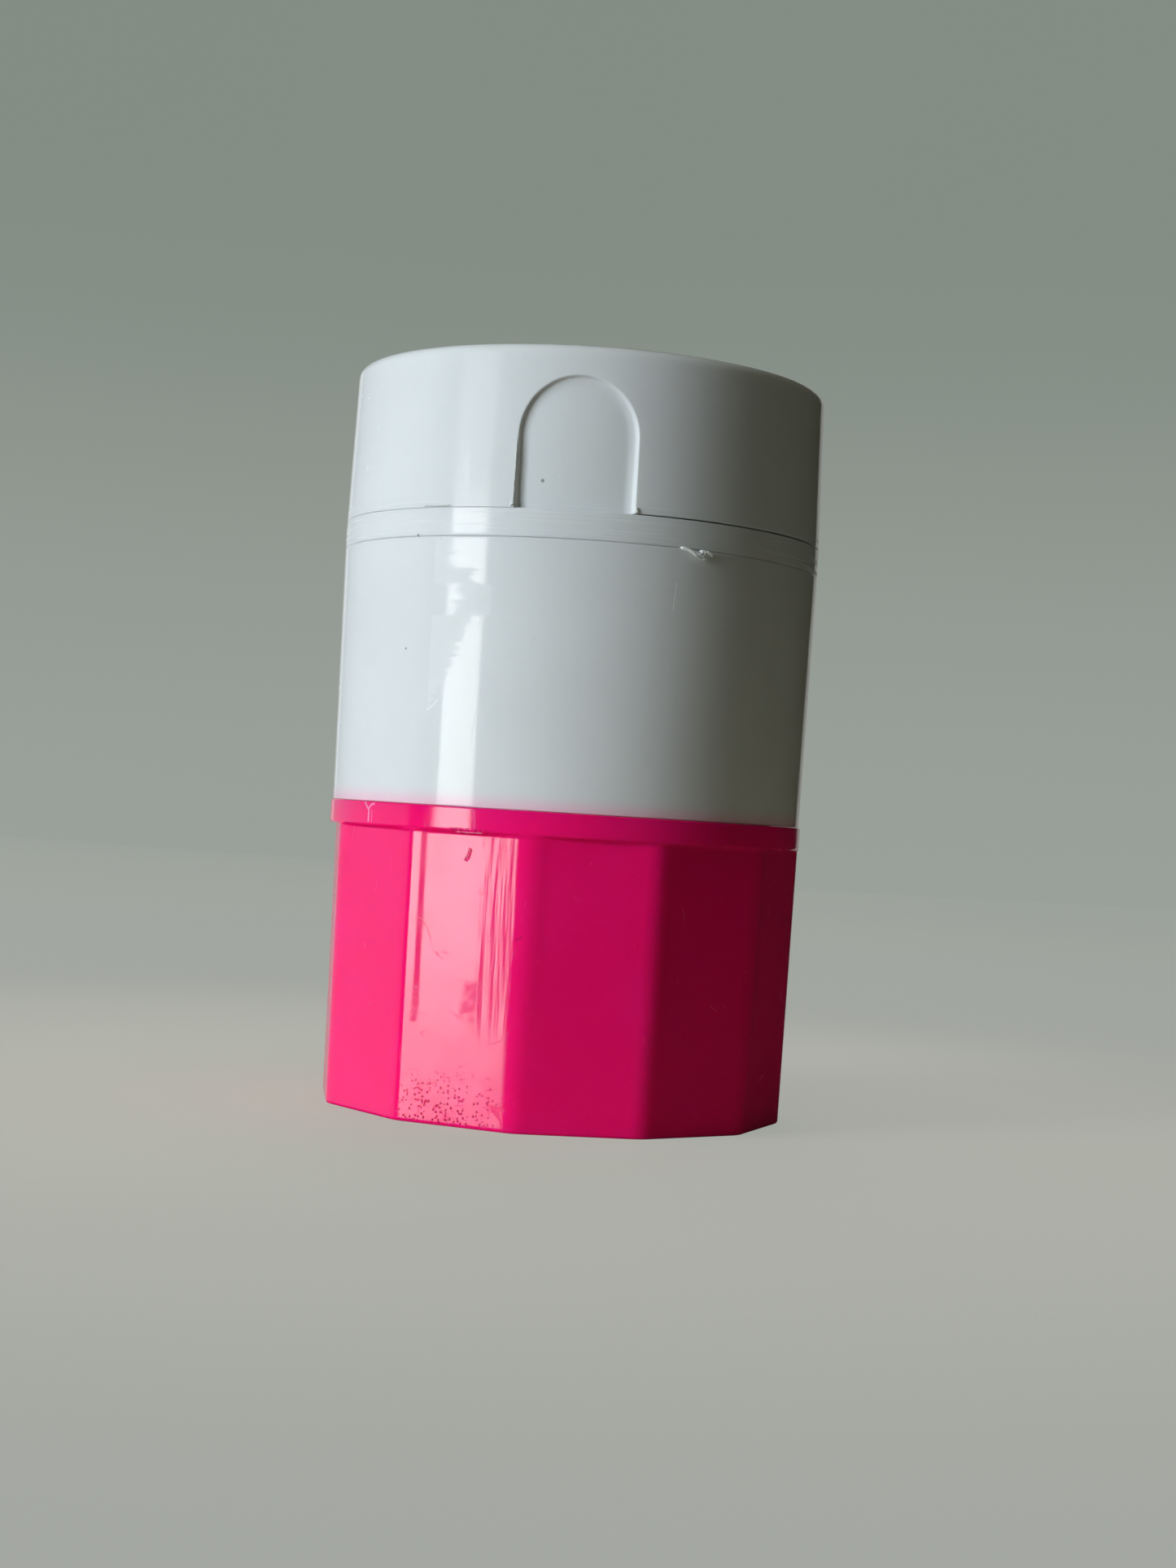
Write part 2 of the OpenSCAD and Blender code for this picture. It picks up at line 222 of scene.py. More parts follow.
def dullPatches(f):
    # Feathered duller patches below the rim, at the left of the front
    across = (f.turn + 31.2) / 10.6 + (f.noise(1.0, 2, (0.12, 0.12, 3.2)) - 0.5) * 0.7
    slanted = mask(f.z, 42.9, 42.4) * mask(across - (f.z - 35.0) / 8.0, 0.06, -0.14)
    fan = band(f.z, 42.4, 42.9, 45.0, 45.5) * mask(across, 0.30, 0.70)
    gap = band(f.z, 45.0, 45.5, 46.4, 46.9) * mask(across, 0.95, 0.80)
    upper = band(f.z, 46.4, 46.9, 49.1, 49.3) * mask(across, 0.45, 0.05)
    return (slanted + fan + gap + upper) * band(f.turn, -34, -31.5, -19, -16)


def whiteFinish():
    f = Finish("whitePolypropylene", {"IOR": 1.49, "Subsurface Weight": 0.18, "Subsurface Scale": 0.0020,
                                      "Subsurface Radius": (1.0, 0.85, 0.7)})
    cloud = f.noise(0.09, 3)
    speck = f.spot(-38, 49.4, 0.16) + f.spot(-7.7, 54.1, 0.2) + f.spot(-40, 39.8, 0.14)
    dust = mask(f.noise(2.1, 0), 0.81, 0.85)
    # Painted light: pink bounce light from the collar, painted as a pink tint on the foot of the outer wall
    outside = mask((f.x * f.x + f.y * f.y) ** 0.5, outerR - 1.6, outerR - 0.9)
    glow = band(f.z, shoulderZ - 0.2, shoulderZ - 0.15, shoulderZ - 0.1, shoulderZ + 1.9) * outside
    colour = blend(mask(cloud, 0.3, 0.7), white["colour"], white["shade"])
    colour = blend(glow * glow * white["paintedPinkBounce"], colour, (0.95, 0.30, 0.50))
    colour = blend(speck * 0.75 + dust * 0.10, colour, (0.16, 0.17, 0.15))
    ring = f.noise(3.4, 2.5, (0.02, 0.02, 1.0))
    nearRim = band(f.z, 45.5, 49.0, 51.6, 52.2) + mask(f.z, 30.5, 27.5)
    # Two scratches: rougher grooves, also painted lighter as a painted highlight where they catch the light
    scratchesWithPaintedGlint = f.stroke(24.2, 46.5, 23.8, 44.1, 0.07) + f.stroke(-32.7, 34.65, -29.7, 35.64, 0.06, 0.12)
    colour = blend(scratchesWithPaintedGlint * 0.7, colour, (0.95, 0.96, 0.94))
    hair = f.scratches(0.22, (1.0, 1.0, 0.12), 0.0035) + f.scratches(0.3, (0.6, 0.6, 1.4), 0.003)
    lines = (mask(f.noise(5.0, 2, (0.02, 0.02, 1.0)), 0.54, 0.62)
             * band(f.z, rimZ - 0.9, rimZ + 0.1, seamZ + 0.2, seamZ + 1.8))
    height = (f.noise(0.16, 1.5) * white["waves"] + f.noise(7.0, 2) * white["grain"]
              + ring * white["turning"] * (0.12 + 0.88 * nearRim) - (scratchesWithPaintedGlint + hair * 0.25) * 0.008
              - speck * 0.01)
    roughness = (white["roughness"] + mask(f.noise(0.35, 4), 0.35, 0.8) * 0.05
                 + hair * 0.12 + scratchesWithPaintedGlint * 0.25 + dust * 0.2 + lines * 0.22 + dullPatches(f) * white["dull"])
    return f.connect(colour, roughness, height)


# Flats of the grip: how many, and the turn of one of their edges in degrees
flats = {"count": 12, "turn": -5.4}

# Hot pink polypropylene of the crushing cup
pink = {"colour": (0.99, 0.006, 0.180), "deep": (0.96, 0.004, 0.160), "roughness": 0.10,
        "waves": 0.008, "grain": 0.0004, "pits": 0.022, "sink": 0.034, "streaks": 0.018}


def collarMark(f):
    # A forked line left by the mould on the collar
    return (f.stroke(-51.8, 26.66, -50.0, 26.02, 0.15, 0.06)
            + f.stroke(-50.0, 26.02, -47.6, 26.50, 0.15, -0.16)
            + f.stroke(-49.95, 26.05, -49.9, 24.90, 0.14)
            + f.stroke(-48.7, 25.95, -48.6, 24.90, 0.08) * 0.5)


def pinkFinish():
    f = Finish("pinkPolypropylene", {"IOR": 1.5, "Specular IOR Level": 0.8, "Subsurface Weight": 0.5,
                                     "Subsurface Scale": 0.0018, "Subsurface Radius": (1.0, 0.05, 0.15)})
    cloud = f.noise(0.12, 3)
    smear = f.stroke(-20.9, 22.25, -19.7, 23.3, 0.24, 0.08) * mask(f.noise(3.0, 2), 0.34, 0.46)
    smudge = (f.stroke(-32.0, 8.4, -31.2, 11.6, 0.55) + f.stroke(-18.4, 8.8, -17.0, 12.4, 1.1)) * mask(
        f.noise(0.9, 3), 0.30, 0.60)
    mark = collarMark(f)
    ticks = (mask(abs(f.z - 24.80), 0.16, 0.08) * band(f.turn, -25, -23, -17, -14)
             * mask(f.noise(3.0, 1, (1.0, 1.0, 0.2)), 0.50, 0.56))
    nick = f.stroke(-7.2, 15.9, -5.6, 16.3, 0.10)
    patch = (mask(f.z, 5.6, 0.8) * band(f.turn, -37, -31, -12, -4)
             * mask(f.noise(0.9, 3) + (-22 - f.turn) * 0.010 + (2.6 - f.z) * 0.035, 0.27, 0.42))
    cells = f.place.add("ShaderNodeTexVoronoi", {"feature": "F1"}, {"Vector": f.place, "Scale": 3.1})
    lot = f.place.add("ShaderNodeSeparateColor", {}, {0: cells.other("Color")})
    pits = mask(cells, 0.36, 0.22) * mask(lot, 0.20, 0.30) * patch
    colour = blend(mask(cloud, 0.3, 0.7), pink["colour"], pink["deep"])
    colour = blend(smear * 0.7 + nick * 0.5 + pits * 0.75 + ticks * 0.6, colour, (0.42, 0.005, 0.055))
    colour = blend(mark * 0.8, colour, (1.0, 0.30, 0.52))
    ribs = f.noise(0.34, 1.5, (1.0, 1.0, 0.10))
    # Each flat has two upright sink bands near its edges, which run out towards the foot
    step = 360.0 / flats["count"]
    local = f.x.sum("FLOORED_MODULO", f.turn - flats["turn"], step) - step / 2
    grip = band(f.z, 6.0, 11.5, 24.3, 24.6)
    slope = f.x.sum("MINIMUM", f.x.sum("MAXIMUM", (local - 2.4) / 10.6, 0.0), 1.0)
    sink = (mask(local, -12.6, -9.8) * 0.9 + slope) * grip
    streaks = f.noise(1.6, 2, (1.0, 1.0, 0.05)) * band(local, 2.0, 4.0, 12.5, 14.0) * grip
    hair = f.scratches(0.18, (1.0, 1.0, 0.35), 0.004) + f.scratches(0.3, (0.5, 0.5, 1.2), 0.003)
    ring = f.noise(3.2, 2.5, (0.02, 0.02, 1.0)) * mask(f.z, 24.4, 24.9)
    height = (ribs * pink["waves"] + f.noise(0.2, 1.5) * 0.008
              + f.noise(7.0, 2) * pink["grain"] + ring * 0.0014
              - pits * pink["pits"] - hair * 0.002 + smear * 0.02 - nick * 0.02
              - sink * pink["sink"] + streaks * pink["streaks"] - mark * 0.03 - ticks * 0.02)
    roughness = (pink["roughness"] + mask(f.noise(0.4, 4), 0.4, 0.8) * 0.06 + patch * 0.05
                 + hair * 0.15 + smear * 0.2 + smudge * 0.22 + pits * 0.45)
    return f.connect(colour, roughness, height)


# Satin plastic of the guide and of the blade holder
satin = {"colour": (0.74, 0.765, 0.745), "shade": (0.69, 0.71, 0.69), "roughness": 0.33}


def satinFinish():
    f = Finish("satinPlastic", {"IOR": 1.49, "Subsurface Weight": 0.3, "Subsurface Scale": 0.0015,
                                "Subsurface Radius": (1.0, 0.9, 0.8)})
    colour = blend(mask(f.noise(0.15, 3), 0.3, 0.7), satin["colour"], satin["shade"])
    scuff = f.scratches(0.3, (1.0, 0.15, 1.0), 0.006)
    height = f.noise(6.0, 3) * 0.0012 + f.noise(0.3, 1) * 0.01 - scuff * 0.003
    roughness = satin["roughness"] + f.noise(0.8, 3) * 0.1 + scuff * 0.1
    return f.connect(colour, roughness, height)


# Silicone of the sealing ring
silicone = {"colour": (0.70, 0.715, 0.70), "roughness": 0.46}


def siliconeFinish():
    f = Finish("silicone", {"IOR": 1.41, "Subsurface Weight": 0.4, "Subsurface Scale": 0.002})
    lint = mask(f.noise(1.6, 1), 0.7, 0.76)
    colour = blend(lint * 0.3 + f.noise(0.3, 2) * 0.2, silicone["colour"], (0.55, 0.56, 0.54))
    height = f.noise(2.5, 3) * 0.004 + lint * 0.006
    return f.connect(colour, silicone["roughness"] + f.noise(1.2, 3) * 0.14 + lint * 0.2, height)


# Stainless steel of the blade: rolled along its length, ground across at the edge
blade = {"colour": (0.60, 0.61, 0.62), "ground": (0.74, 0.75, 0.76), "bevel": 1.6}


def bladeFinish():
    f = Finish("bladeSteel", {"Metallic": 1.0})
    foot = spanOf("blade")[0][2]
    ground = mask(f.z + f.noise(0.8, 2) * 0.12, foot + blade["bevel"] + 0.1, foot + blade["bevel"])
    rolled = f.noise(5.0, 3, (1.0, 0.04, 1.0))
    honed = f.noise(7.0, 3, (1.0, 1.0, 0.05))
    colour = blend(ground, blade["colour"], blade["ground"])
    colour = blend(mask(rolled, 0.45, 0.8) * 0.25, colour, (0.42, 0.43, 0.44))
    height = (1 - ground) * rolled * 0.0016 + ground * honed * 0.0022
    roughness = 0.24 + (1 - ground) * f.noise(1.0, 3, (1.0, 0.1, 1.0)) * 0.16 + ground * 0.05
    return f.connect(colour, roughness, height)


# Drawn steel wire of the pins
wire = {"colour": (0.56, 0.56, 0.555), "roughness": 0.27}


def pinFinish():
    f = Finish("drawnWire", {"Metallic": 1.0})
    drawn = f.noise(6.0, 2, (0.05, 1.0, 1.0))
    colour = blend(mask(drawn, 0.4, 0.75) * 0.4, wire["colour"], (0.40, 0.40, 0.39))
    height = drawn * 0.0022 + f.noise(3.0, 2) * 0.0008
    return f.connect(colour, wire["roughness"] + f.noise(1.5, 3) * 0.12, height)


# Mould flash, so thin that light goes through it
def thinFinish(name, colour):
    f = Finish(name, {"IOR": 1.49, "Subsurface Weight": 1.0, "Subsurface Scale": 0.0006,
                      "Subsurface Radius": (1.0, 1.0, 1.0)})
    patchy = blend(mask(f.noise(1.2, 2), 0.3, 0.7), colour, tuple(0.94 * part for part in colour))
    return f.connect(patchy, 0.22 + f.noise(2.0, 2) * 0.1, f.noise(5.0, 2) * 0.004)


finishes = {"white_plastic": whiteFinish(), "pink_plastic": pinkFinish(), "guide_plastic": satinFinish(),
            "silicone": siliconeFinish(), "blade_steel": bladeFinish(), "pin_steel": pinFinish(),
            "thinWhite": thinFinish("thinWhite", (0.95, 0.97, 0.95)),
            "thinPink": thinFinish("thinPink", (1.0, 0.22, 0.42))}
print("finishes made:", len(finishes))


# Turned pieces. A row is (radius, height), and either may be an array with one value for each column.

def evenTurns(count):
    return np.radians(np.arange(count) * 360.0 / count)


def rounded(corners, hold=0.35):
    # Corners are (radius, height, rounding); each becomes an arc with a holding row on either side
    rows = []
    for i, (r, z, rounding) in enumerate(corners):
        here = np.array([r, z])
        if not rounding or i in (0, len(corners) - 1):
            rows.append((r, z))
            continue
        before = np.array(corners[i - 1][:2]) - here
        after = np.array(corners[i + 1][:2]) - here
        before, after = before / np.linalg.norm(before), after / np.linalg.norm(after)
        half = math.acos(np.clip(before @ after, -1, 1)) / 2
        reach = rounding / math.tan(half)
        centre = here + (before + after) / np.linalg.norm(before + after) * rounding / math.sin(half)
        rows.append(tuple(here + before * reach * (1 + hold)))
        start, end = here + before * reach - centre, here + after * reach - centre
        steps = 3 if rounding < 0.2 else 5
        sweep = math.acos(np.clip(start @ end / rounding ** 2, -1, 1))
        for k in range(steps + 1):
            t = k / steps
            arm = (math.sin((1 - t) * sweep) * start + math.sin(t * sweep) * end) / math.sin(sweep)
            rows.append(tuple(centre + arm))
        rows.append(tuple(here + after * reach * (1 + hold)))
    return rows


def spin(turns, rows, closed=False):
    # Points and faces of a shape turned about the axis; a radius of 0 closes it with one point
    points, faces, starts = [], [], []
    count = len(turns)
    for radius, height in rows:
        pole = np.ndim(radius) == 0 and radius == 0
        starts.append((sum(len(p) for p in points), pole))
        if pole:
            points.append(np.array([[0.0, 0.0, float(np.mean(height))]]))
        else:
            ring = np.ones(count)
            points.append(np.column_stack([radius * ring * np.sin(turns), -radius * ring * np.cos(turns),
                                           height * ring]))
    following = starts[1:] + ([starts[0]] if closed else [])
    for (a, aPole), (b, bPole) in zip(starts, following):
        for i in range(count):
            j = (i + 1) % count
            if aPole:
                faces.append((a, b + j, b + i))
            elif bPole:
                faces.append((a + i, a + j, b))
            else:
                faces.append((a + i, a + j, b + j, b + i))
    return np.vstack(points), faces


def alongX(points, y, z):
    # Turns a shape made about the upright axis to lie about a line along X
    return np.column_stack([points[:, 2], points[:, 1] * -1 + y, points[:, 0] + z])


def addPiece(name, shapes, slot, sharp=40):
    # One mesh of one or more (points, faces) shapes, at the origin, with its finish
    points, faces, base = [], [], 0
    for shapePoints, shapeFaces in shapes:
        points.append(shapePoints)
        faces += [[base + i for i in face] for face in shapeFaces]
        base += len(shapePoints)
    mesh = bpy.data.meshes.new(name)
    mesh.from_pydata((np.vstack(points) * mm).tolist(), [], faces)
    mesh.validate()
    mesh.shade_smooth()
    mesh.set_sharp_from_angle(angle=math.radians(sharp))
    mesh.materials.append(finishes[slot])
    return newObject(name, mesh)


def settle(piece, slot, body, *replaced):
    # Leaves a plain mesh with no modifiers, and gives it to its body
    if piece.modifiers:
        mesh = bakedMesh(piece)
        piece.modifiers.clear()
        piece.data = mesh
    piece.data.materials.clear()
    piece.data.materials.append(finishes[slot])
    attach(piece, body)
    if replaced:
        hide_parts(*replaced)
    return piece


def carve(piece, tool):
    cut = piece.modifiers.new("carve", "BOOLEAN")
    cut.operation = "DIFFERENCE"
    cut.solver = "EXACT"
    cut.object = tool
    mesh = bakedMesh(piece)
    piece.modifiers.clear()
    piece.data = mesh
    mesh.set_sharp_from_angle(angle=math.radians(35))
    bpy.data.objects.remove(tool)


def rodTool(radius, fromX, toX, y, z):
    rows = [(0, fromX), (radius, fromX), (radius, toX), (0, toX)]
    points, faces = spin(evenTurns(64), rows)
    return addPiece("tool", [(alongX(points, y, z), faces)], "white_plastic")


# Lid: drafted wall, rounded top, arched thumb recess at the front
lid = {"wall": 1.8, "top": 1.6, "topDrop": 0.3, "topRound": 0.8, "crown": 0.25,
       "gap": 0.015, "edgeRound": 0.05, "lift": 0.10,
       "recessWidth": 10.3, "recessTop": 11.3, "recessFloor": 20.8, "recessCove": 1.05,
       "recessEdge": 0.28,
       "ribInner": 2.7, "ribThick": 1.1, "ribLength": 26.0, "ribFoot": 57.3,
       "holeR": 0.93, "holeHalf": 5.0, "holeY": 6.5, "holeZ": 59.0,
       "knuckleHalf": 4.0, "knuckleR": 1.8, "notchR": 2.05, "boreR": 0.83}


def eased(share):
    return share * share * (3 - 2 * share)


def recessDepth(turn, height, wallR):
    # How far the wall is set back at a place: a steep edge, then a cove into the flat floor
    half = lid["recessWidth"] / 2
    archZ = seamZ + lid["recessTop"] - half
    across = turn * outerR
    inside = half - np.where(height > archZ, np.hypot(across, height - archZ), np.abs(across))
    cove = np.clip(inside / lid["recessCove"], 0, 1)
    edge = np.clip(inside / lid["recessEdge"], 0, 1)
    return (wallR - lid["recessFloor"]) * np.sqrt(cove * (2 - cove)) * eased(edge)


def lidLift(turns):
    # The lid's edge sits close at the left and stands a little off at the right
    return lid["lift"] * eased(np.clip((np.sin(turns) + 0.1) / 0.6, 0, 1))


def lidTurns():
    half = lid["recessWidth"] / 2 / outerR
    near = np.arange(half - 1.15 / outerR, half + 0.25 / outerR, 0.05 / outerR)
    middle = np.linspace(-near[0], near[0], 92)[1:-1]
    rest = np.linspace(near[-1], 2 * math.pi - near[-1], 230)[1:-1]
    return np.concatenate([-near[::-1], middle, near, rest])


def makeLid():
    turns = lidTurns()
    signed = np.where(turns > math.pi, turns - 2 * math.pi, turns)
    foot = seamZ + lid["gap"]
    topR = outerR - lid["topDrop"]
    boreR = outerR - lid["wall"]
    ceiling = lidTop - lid["top"]
    top = lidTop + lid["crown"]
    archZ = seamZ + lid["recessTop"] - lid["recessWidth"] / 2
    profile = rounded([(0, ceiling, 0), (boreR, ceiling, 0.5), (boreR, foot, 0.15),
                       (outerR, foot, lid["edgeRound"]), (topR, top, lid["topRound"]), (0, top, 0)])
    rows = []
    for r, z in profile:
        low = z < foot + 0.3
        height = z + lidLift(turns) if low else z
        if r < boreR + 0.4 or z > seamZ + lid["recessTop"] + 0.2:
            rows.append((r, height))
        elif low:
            rows.append((r - recessDepth(signed, np.full(len(turns), z), r), height))
    # Rows stand closer together round the arch
    wall = np.concatenate([np.arange(foot + 0.4, archZ - 0.2, 0.45), np.arange(archZ, archZ + 3.9, 0.1),
                           np.arange(archZ + 3.9, seamZ + lid["recessTop"] + 0.2, 0.05)])
    wallRows = []
    for z in wall:
        r = outerR + (topR - outerR) * (z - foot) / (top - foot)
        wallRows.append((r - recessDepth(signed, np.full(len(turns), z), r), z))
    above = [k for k, (r, z) in enumerate(rows) if np.ndim(z) == 0 and z > wall[-1] and k > 8]
    rows = rows[:above[0]] + wallRows + rows[above[0]:]
    shell = addPiece("lidShell", [spin(turns, rows)], "white_plastic", sharp=180)
    for side in (-1, 1):
        inner, outer = side * lid["knuckleHalf"], side * (lid["knuckleHalf"] + 10)
        carve(shell, rodTool(lid["notchR"], min(inner, outer), max(inner, outer), pinY, seamZ))
    for edge in shell.data.edges:
        if shell.data.vertices[edge.vertices[0]].co.y < 0:
            edge.use_edge_sharp = False  # the recess stays smooth
    return settle(shell, "white_plastic", "lid", "lid_shell")


def outlineR(turns, boxes, radius):
    # Distance from the pin to the outside of a round knuckle joined to boxes (y0, y1, z0, z1)
    reach = np.full(len(turns), radius)
    dirY, dirZ = np.cos(turns), np.sin(turns)
    for y0, y1, z0, z1 in boxes:
        far = np.full(len(turns), 99.0)
        for d, low, high in ((dirY, y0, y1), (dirZ, z0, z1)):
            steep = np.where(np.abs(d) < 1e-9, 1e-9, d)
            far = np.minimum(far, np.maximum(low / steep, high / steep))
        reach = np.maximum(reach, far)
    return reach


def knuckle(fromX, toX, boxes, radius, bore, chamfer=0.22):
    # Angle 0 is at -Y after spin, and alongX makes that +Y
    turns = evenTurns(180)
    outline = outlineR(turns, boxes, radius)
    steps = [(1, 0), (0.3, 0.3), (0, 1), (0, 1.4)]  # in and along, in chamfers
    rows = ([(bore + 0.12, fromX)] + [(outline - chamfer * a, fromX + chamfer * b) for a, b in steps]
            + [(outline - chamfer * a, toX - chamfer * b) for a, b in steps[::-1]]
            + [(bore + 0.12, toX), (bore, toX - 0.12), (bore, fromX + 0.12)])
    rows = [(r + np.zeros(len(turns)), x) for r, x in rows]
    points, faces = spin(turns, rows, closed=True)
    return alongX(points, pinY, seamZ), faces


def slab(x0, x1, y0, y1, z0, z1, bevel=0.2):
    # A bar with bevelled edges, as points and faces
    points, faces = [], []
    corner = [(bevel, 0.0), (bevel * 0.3, bevel * 0.3), (0.0, bevel)]
    for z, inset in ((z0, bevel), (z0 + bevel * 0.3, bevel * 0.3), (z0 + bevel, 0), (z1 - bevel, 0),
                     (z1 - bevel * 0.3, bevel * 0.3), (z1, bevel)):
        for x, y, inX, inY, steps in ((x1, y0, -1, 1, corner), (x1, y1, -1, -1, corner[::-1]),
                                      (x0, y1, 1, -1, corner), (x0, y0, 1, 1, corner[::-1])):
            points += [(x + inX * (inset + p), y + inY * (inset + q), z) for p, q in steps]
    for level in range(5):
        for i in range(12):
            j = (i + 1) % 12
            a, b = level * 12, level * 12 + 12
            faces.append((a + i, a + j, b + j, b + i))
    faces.append(tuple(range(11, -1, -1)))
    faces.append(tuple(range(60, 72)))
    return np.array(points), faces


def makeLidInside():
    half = lid["ribLength"] / 2
    shapes = []
    for side in (-1, 1):
        near, far = sorted((side * lid["ribInner"], side * (lid["ribInner"] + lid["ribThick"])))
        shapes.append(slab(near, far, -half, half, lid["ribFoot"], lidTop - lid["top"] + 0.4, 0.18))
    web = [(-2.0, 0.0, lid["gap"], lid["knuckleR"])]
    shapes.append(knuckle(-lid["knuckleHalf"], lid["knuckleHalf"], web, lid["knuckleR"], lid["boreR"]))
    piece = addPiece("lidRibsKnuckle", shapes, "white_plastic")
    for side in (-1, 1):
        carve(piece, rodTool(lid["holeR"], -lid["holeHalf"], lid["holeHalf"], side * lid["holeY"],
                             lid["holeZ"]))
    return settle(piece, "white_plastic", "lid")


makeLid()
makeLidInside()
print("lid made")


# Storage body with its neck, which ends in the pestle
body = {"footDrop": 0.3, "wall": 1.6, "neckR": 17.03, "neckBore": 15.43, "pestleZ": 4.6, "floor": 2.0,
        "shoulder": 2.0, "skirt": 0.13, "skirtInner": 19.4, "skirtSlope": 0.3}


def makeBody():
    footR = outerR - body["footDrop"]
    boreR = footR - body["wall"]
    shelf = shoulderZ + body["shoulder"]
    base = body["pestleZ"] + body["floor"]
    skirtR, skirtZ = body["skirtInner"], shoulderZ - body["skirt"]
    profile = rounded([(0, body["pestleZ"], 0), (body["neckR"], body["pestleZ"], 0.3),
                       (body["neckR"], shoulderZ, 0.15), (skirtR, shoulderZ, 0),
                       (skirtR + body["skirtSlope"], skirtZ, 0),
                       (footR, skirtZ, 0.10), (outerR, rimZ, 0.13),
                       (boreR, rimZ, 0.2), (boreR, shelf, 0.6), (body["neckBore"], shelf, 0.5),
                       (body["neckBore"], base, 0.8), (0, base, 0)])
    shell = addPiece("storageBody", [spin(evenTurns(288), profile)], "white_plastic")
    return settle(shell, "white_plastic", "container", "storage_body")


makeBody()
print("storage body made")


# Cutter tray: rim band, plug, deck with the blade slot, spigot and two hinge knuckles
tray = {"plugR": 19.4, "plugWall": 1.4, "plugZ": 44.3, "under": 48.9, "rimRound": 0.05,
        "spigotR": 19.4, "spigotBore": 18.2, "spigotTop": 53.5,
        "slotHalf": 12.2, "slotWide": 0.7, "slotFloor": 49.95,
        "knuckleIn": 4.25, "webDepth": 2.4, "webRoot": 2.2, "boreGap": 0.03}


def makeTray():
    inner = tray["plugR"] - tray["plugWall"]
    profile = rounded([(0, tray["under"], 0), (inner, tray["under"], 0.4), (inner, tray["plugZ"], 0.2),
                       (tray["plugR"], tray["plugZ"], 0.3), (tray["plugR"], rimZ, 0.1),
                       (outerR, rimZ, 0.13), (outerR, seamZ, tray["rimRound"]),
                       (tray["spigotR"], seamZ, 0.1), (tray["spigotR"], tray["spigotTop"], 0.25),
                       (tray["spigotBore"], tray["spigotTop"], 0.25), (tray["spigotBore"], deckZ, 0.3),
                       (0, deckZ, 0)])
    shell = addPiece("cutterTray", [spin(evenTurns(288), profile)], "white_plastic")
    wide, long = tray["slotWide"], tray["slotHalf"]
    carve(shell, addPiece("tool", [slab(-wide, wide, -long, long, tray["slotFloor"], deckZ + 3, 0.12)],
                          "white_plastic"))
    carve(shell, rodTool(lid["notchR"], -tray["knuckleIn"], tray["knuckleIn"], pinY, seamZ))
    return settle(shell, "white_plastic", "cutter", "cutter_tray")


def makeTrayKnuckles():
    web = [(tray["spigotBore"] - pinY + tray["webRoot"], 0.0, -tray["webDepth"], 0.0)]
    shapes = []
    for side in (-1, 1):
        near, far = sorted((side * tray["knuckleIn"], side * pinHalf))
        shapes.append(knuckle(near, far, web, lid["knuckleR"], pinR + tray["boreGap"]))
    piece = addPiece("trayKnuckles", shapes, "white_plastic")
    return settle(piece, "white_plastic", "cutter")


makeTray()
makeTrayKnuckles()
print("cutter tray made")


# Crushing cup: a grip of flats with softened edges under a round collar
cup = {"softening": 2.9, "footR": 21.05, "gripTop": 24.6, "footRound": 0.25, "collarInset": 0.15,
       "collarRound": 0.13, "boreR": 18.33, "floor": 2.6, "sealR": 18.73, "sealZ": 25.5, "ledge": 0.28,
       "dimpleR": 6.0, "dimpleDepth": 0.35, "dimpleSlope": 0.6}


def cupTurns():
    # Columns bunched at the edges of the flats
    step = 360.0 / flats["count"]
    offsets = [0, 1.2, 2.3, 3.2, 3.9, 4.6, 5.6, 8.5, 12, step / 2]
    ring = sorted({round(s * o, 3) for o in offsets for s in (-1, 1)} - {-step / 2})
    return np.radians([flats["turn"] + k * step + o for k in range(flats["count"]) for o in ring])


def flatR(turns, cornerR):
    # Radius of a many-sided outline whose corners are rounded
    step = 2 * math.pi / flats["count"]
    apothem = cornerR * math.cos(step / 2)
    soft = cup["softening"]
    away = (turns - math.radians(flats["turn"])) % step
    away = np.minimum(away, step - away)
    centre = (apothem - soft) / math.cos(step / 2)
    flat = apothem / np.cos(step / 2 - away)
    joins = math.atan2(centre * math.sin(step / 2), apothem)
    arc = centre * np.cos(away) + np.sqrt(np.maximum(soft ** 2 - (centre * np.sin(away)) ** 2, 0))
    return np.where(step / 2 - away <= joins, flat, arc)


def makeCup():
    turns = cupTurns()
    collarR = outerR - cup["collarInset"]
    slope = (collarR - cup["footR"]) / cup["gripTop"]
    soft = cup["footRound"]

    def grip(z, inset=0.0):
        return flatR(turns, cup["footR"] + slope * z) - inset

    rows = [(0, cup["dimpleDepth"]), (cup["dimpleR"], cup["dimpleDepth"]),
            (cup["dimpleR"] + cup["dimpleSlope"], 0.0), (grip(0, 3.0), 0.0), (grip(0, soft * 1.4), 0.0)]
    for k in range(6):
        angle = k / 5 * math.pi / 2
        rows.append((grip(0, soft * (1 - math.sin(angle))), soft * (1 - math.cos(angle))))
    rows += [(grip(z), z) for z in (soft * 1.5, 1.5, 6, 12, 18, 23, cup["gripTop"] - 0.25)]
    edge = grip(cup["gripTop"], -0.06)
    rows += [(grip(cup["gripTop"]), cup["gripTop"] - 0.08), (edge, cup["gripTop"])]
    collar = rounded([(collarR - 1.0, cup["gripTop"], 0), (collarR, cup["gripTop"], cup["ledge"]),
                      (collarR, collarTop, cup["collarRound"]), (cup["sealR"], collarTop, 0.12),
                      (cup["sealR"], cup["sealZ"], 0.1), (cup["boreR"], cup["sealZ"], 0.12),
                      (cup["boreR"], cup["floor"], 0.9), (0, cup["floor"], 0)])[1:]
    # The ledge under the collar runs out at the edges of the flats
    rows += [(np.maximum(r, edge) if z < cup["gripTop"] + 0.6 and r > 19 else r, z) for r, z in collar]
    shell = addPiece("crusherCup", [spin(turns, rows)], "pink_plastic")
    return settle(shell, "pink_plastic", "cup", "crusher_cup")


makeCup()
print("crushing cup made")


# Seal: a ring with two raised lips
seal = {"inner": 17.13, "outer": 18.63, "foot": 25.5}


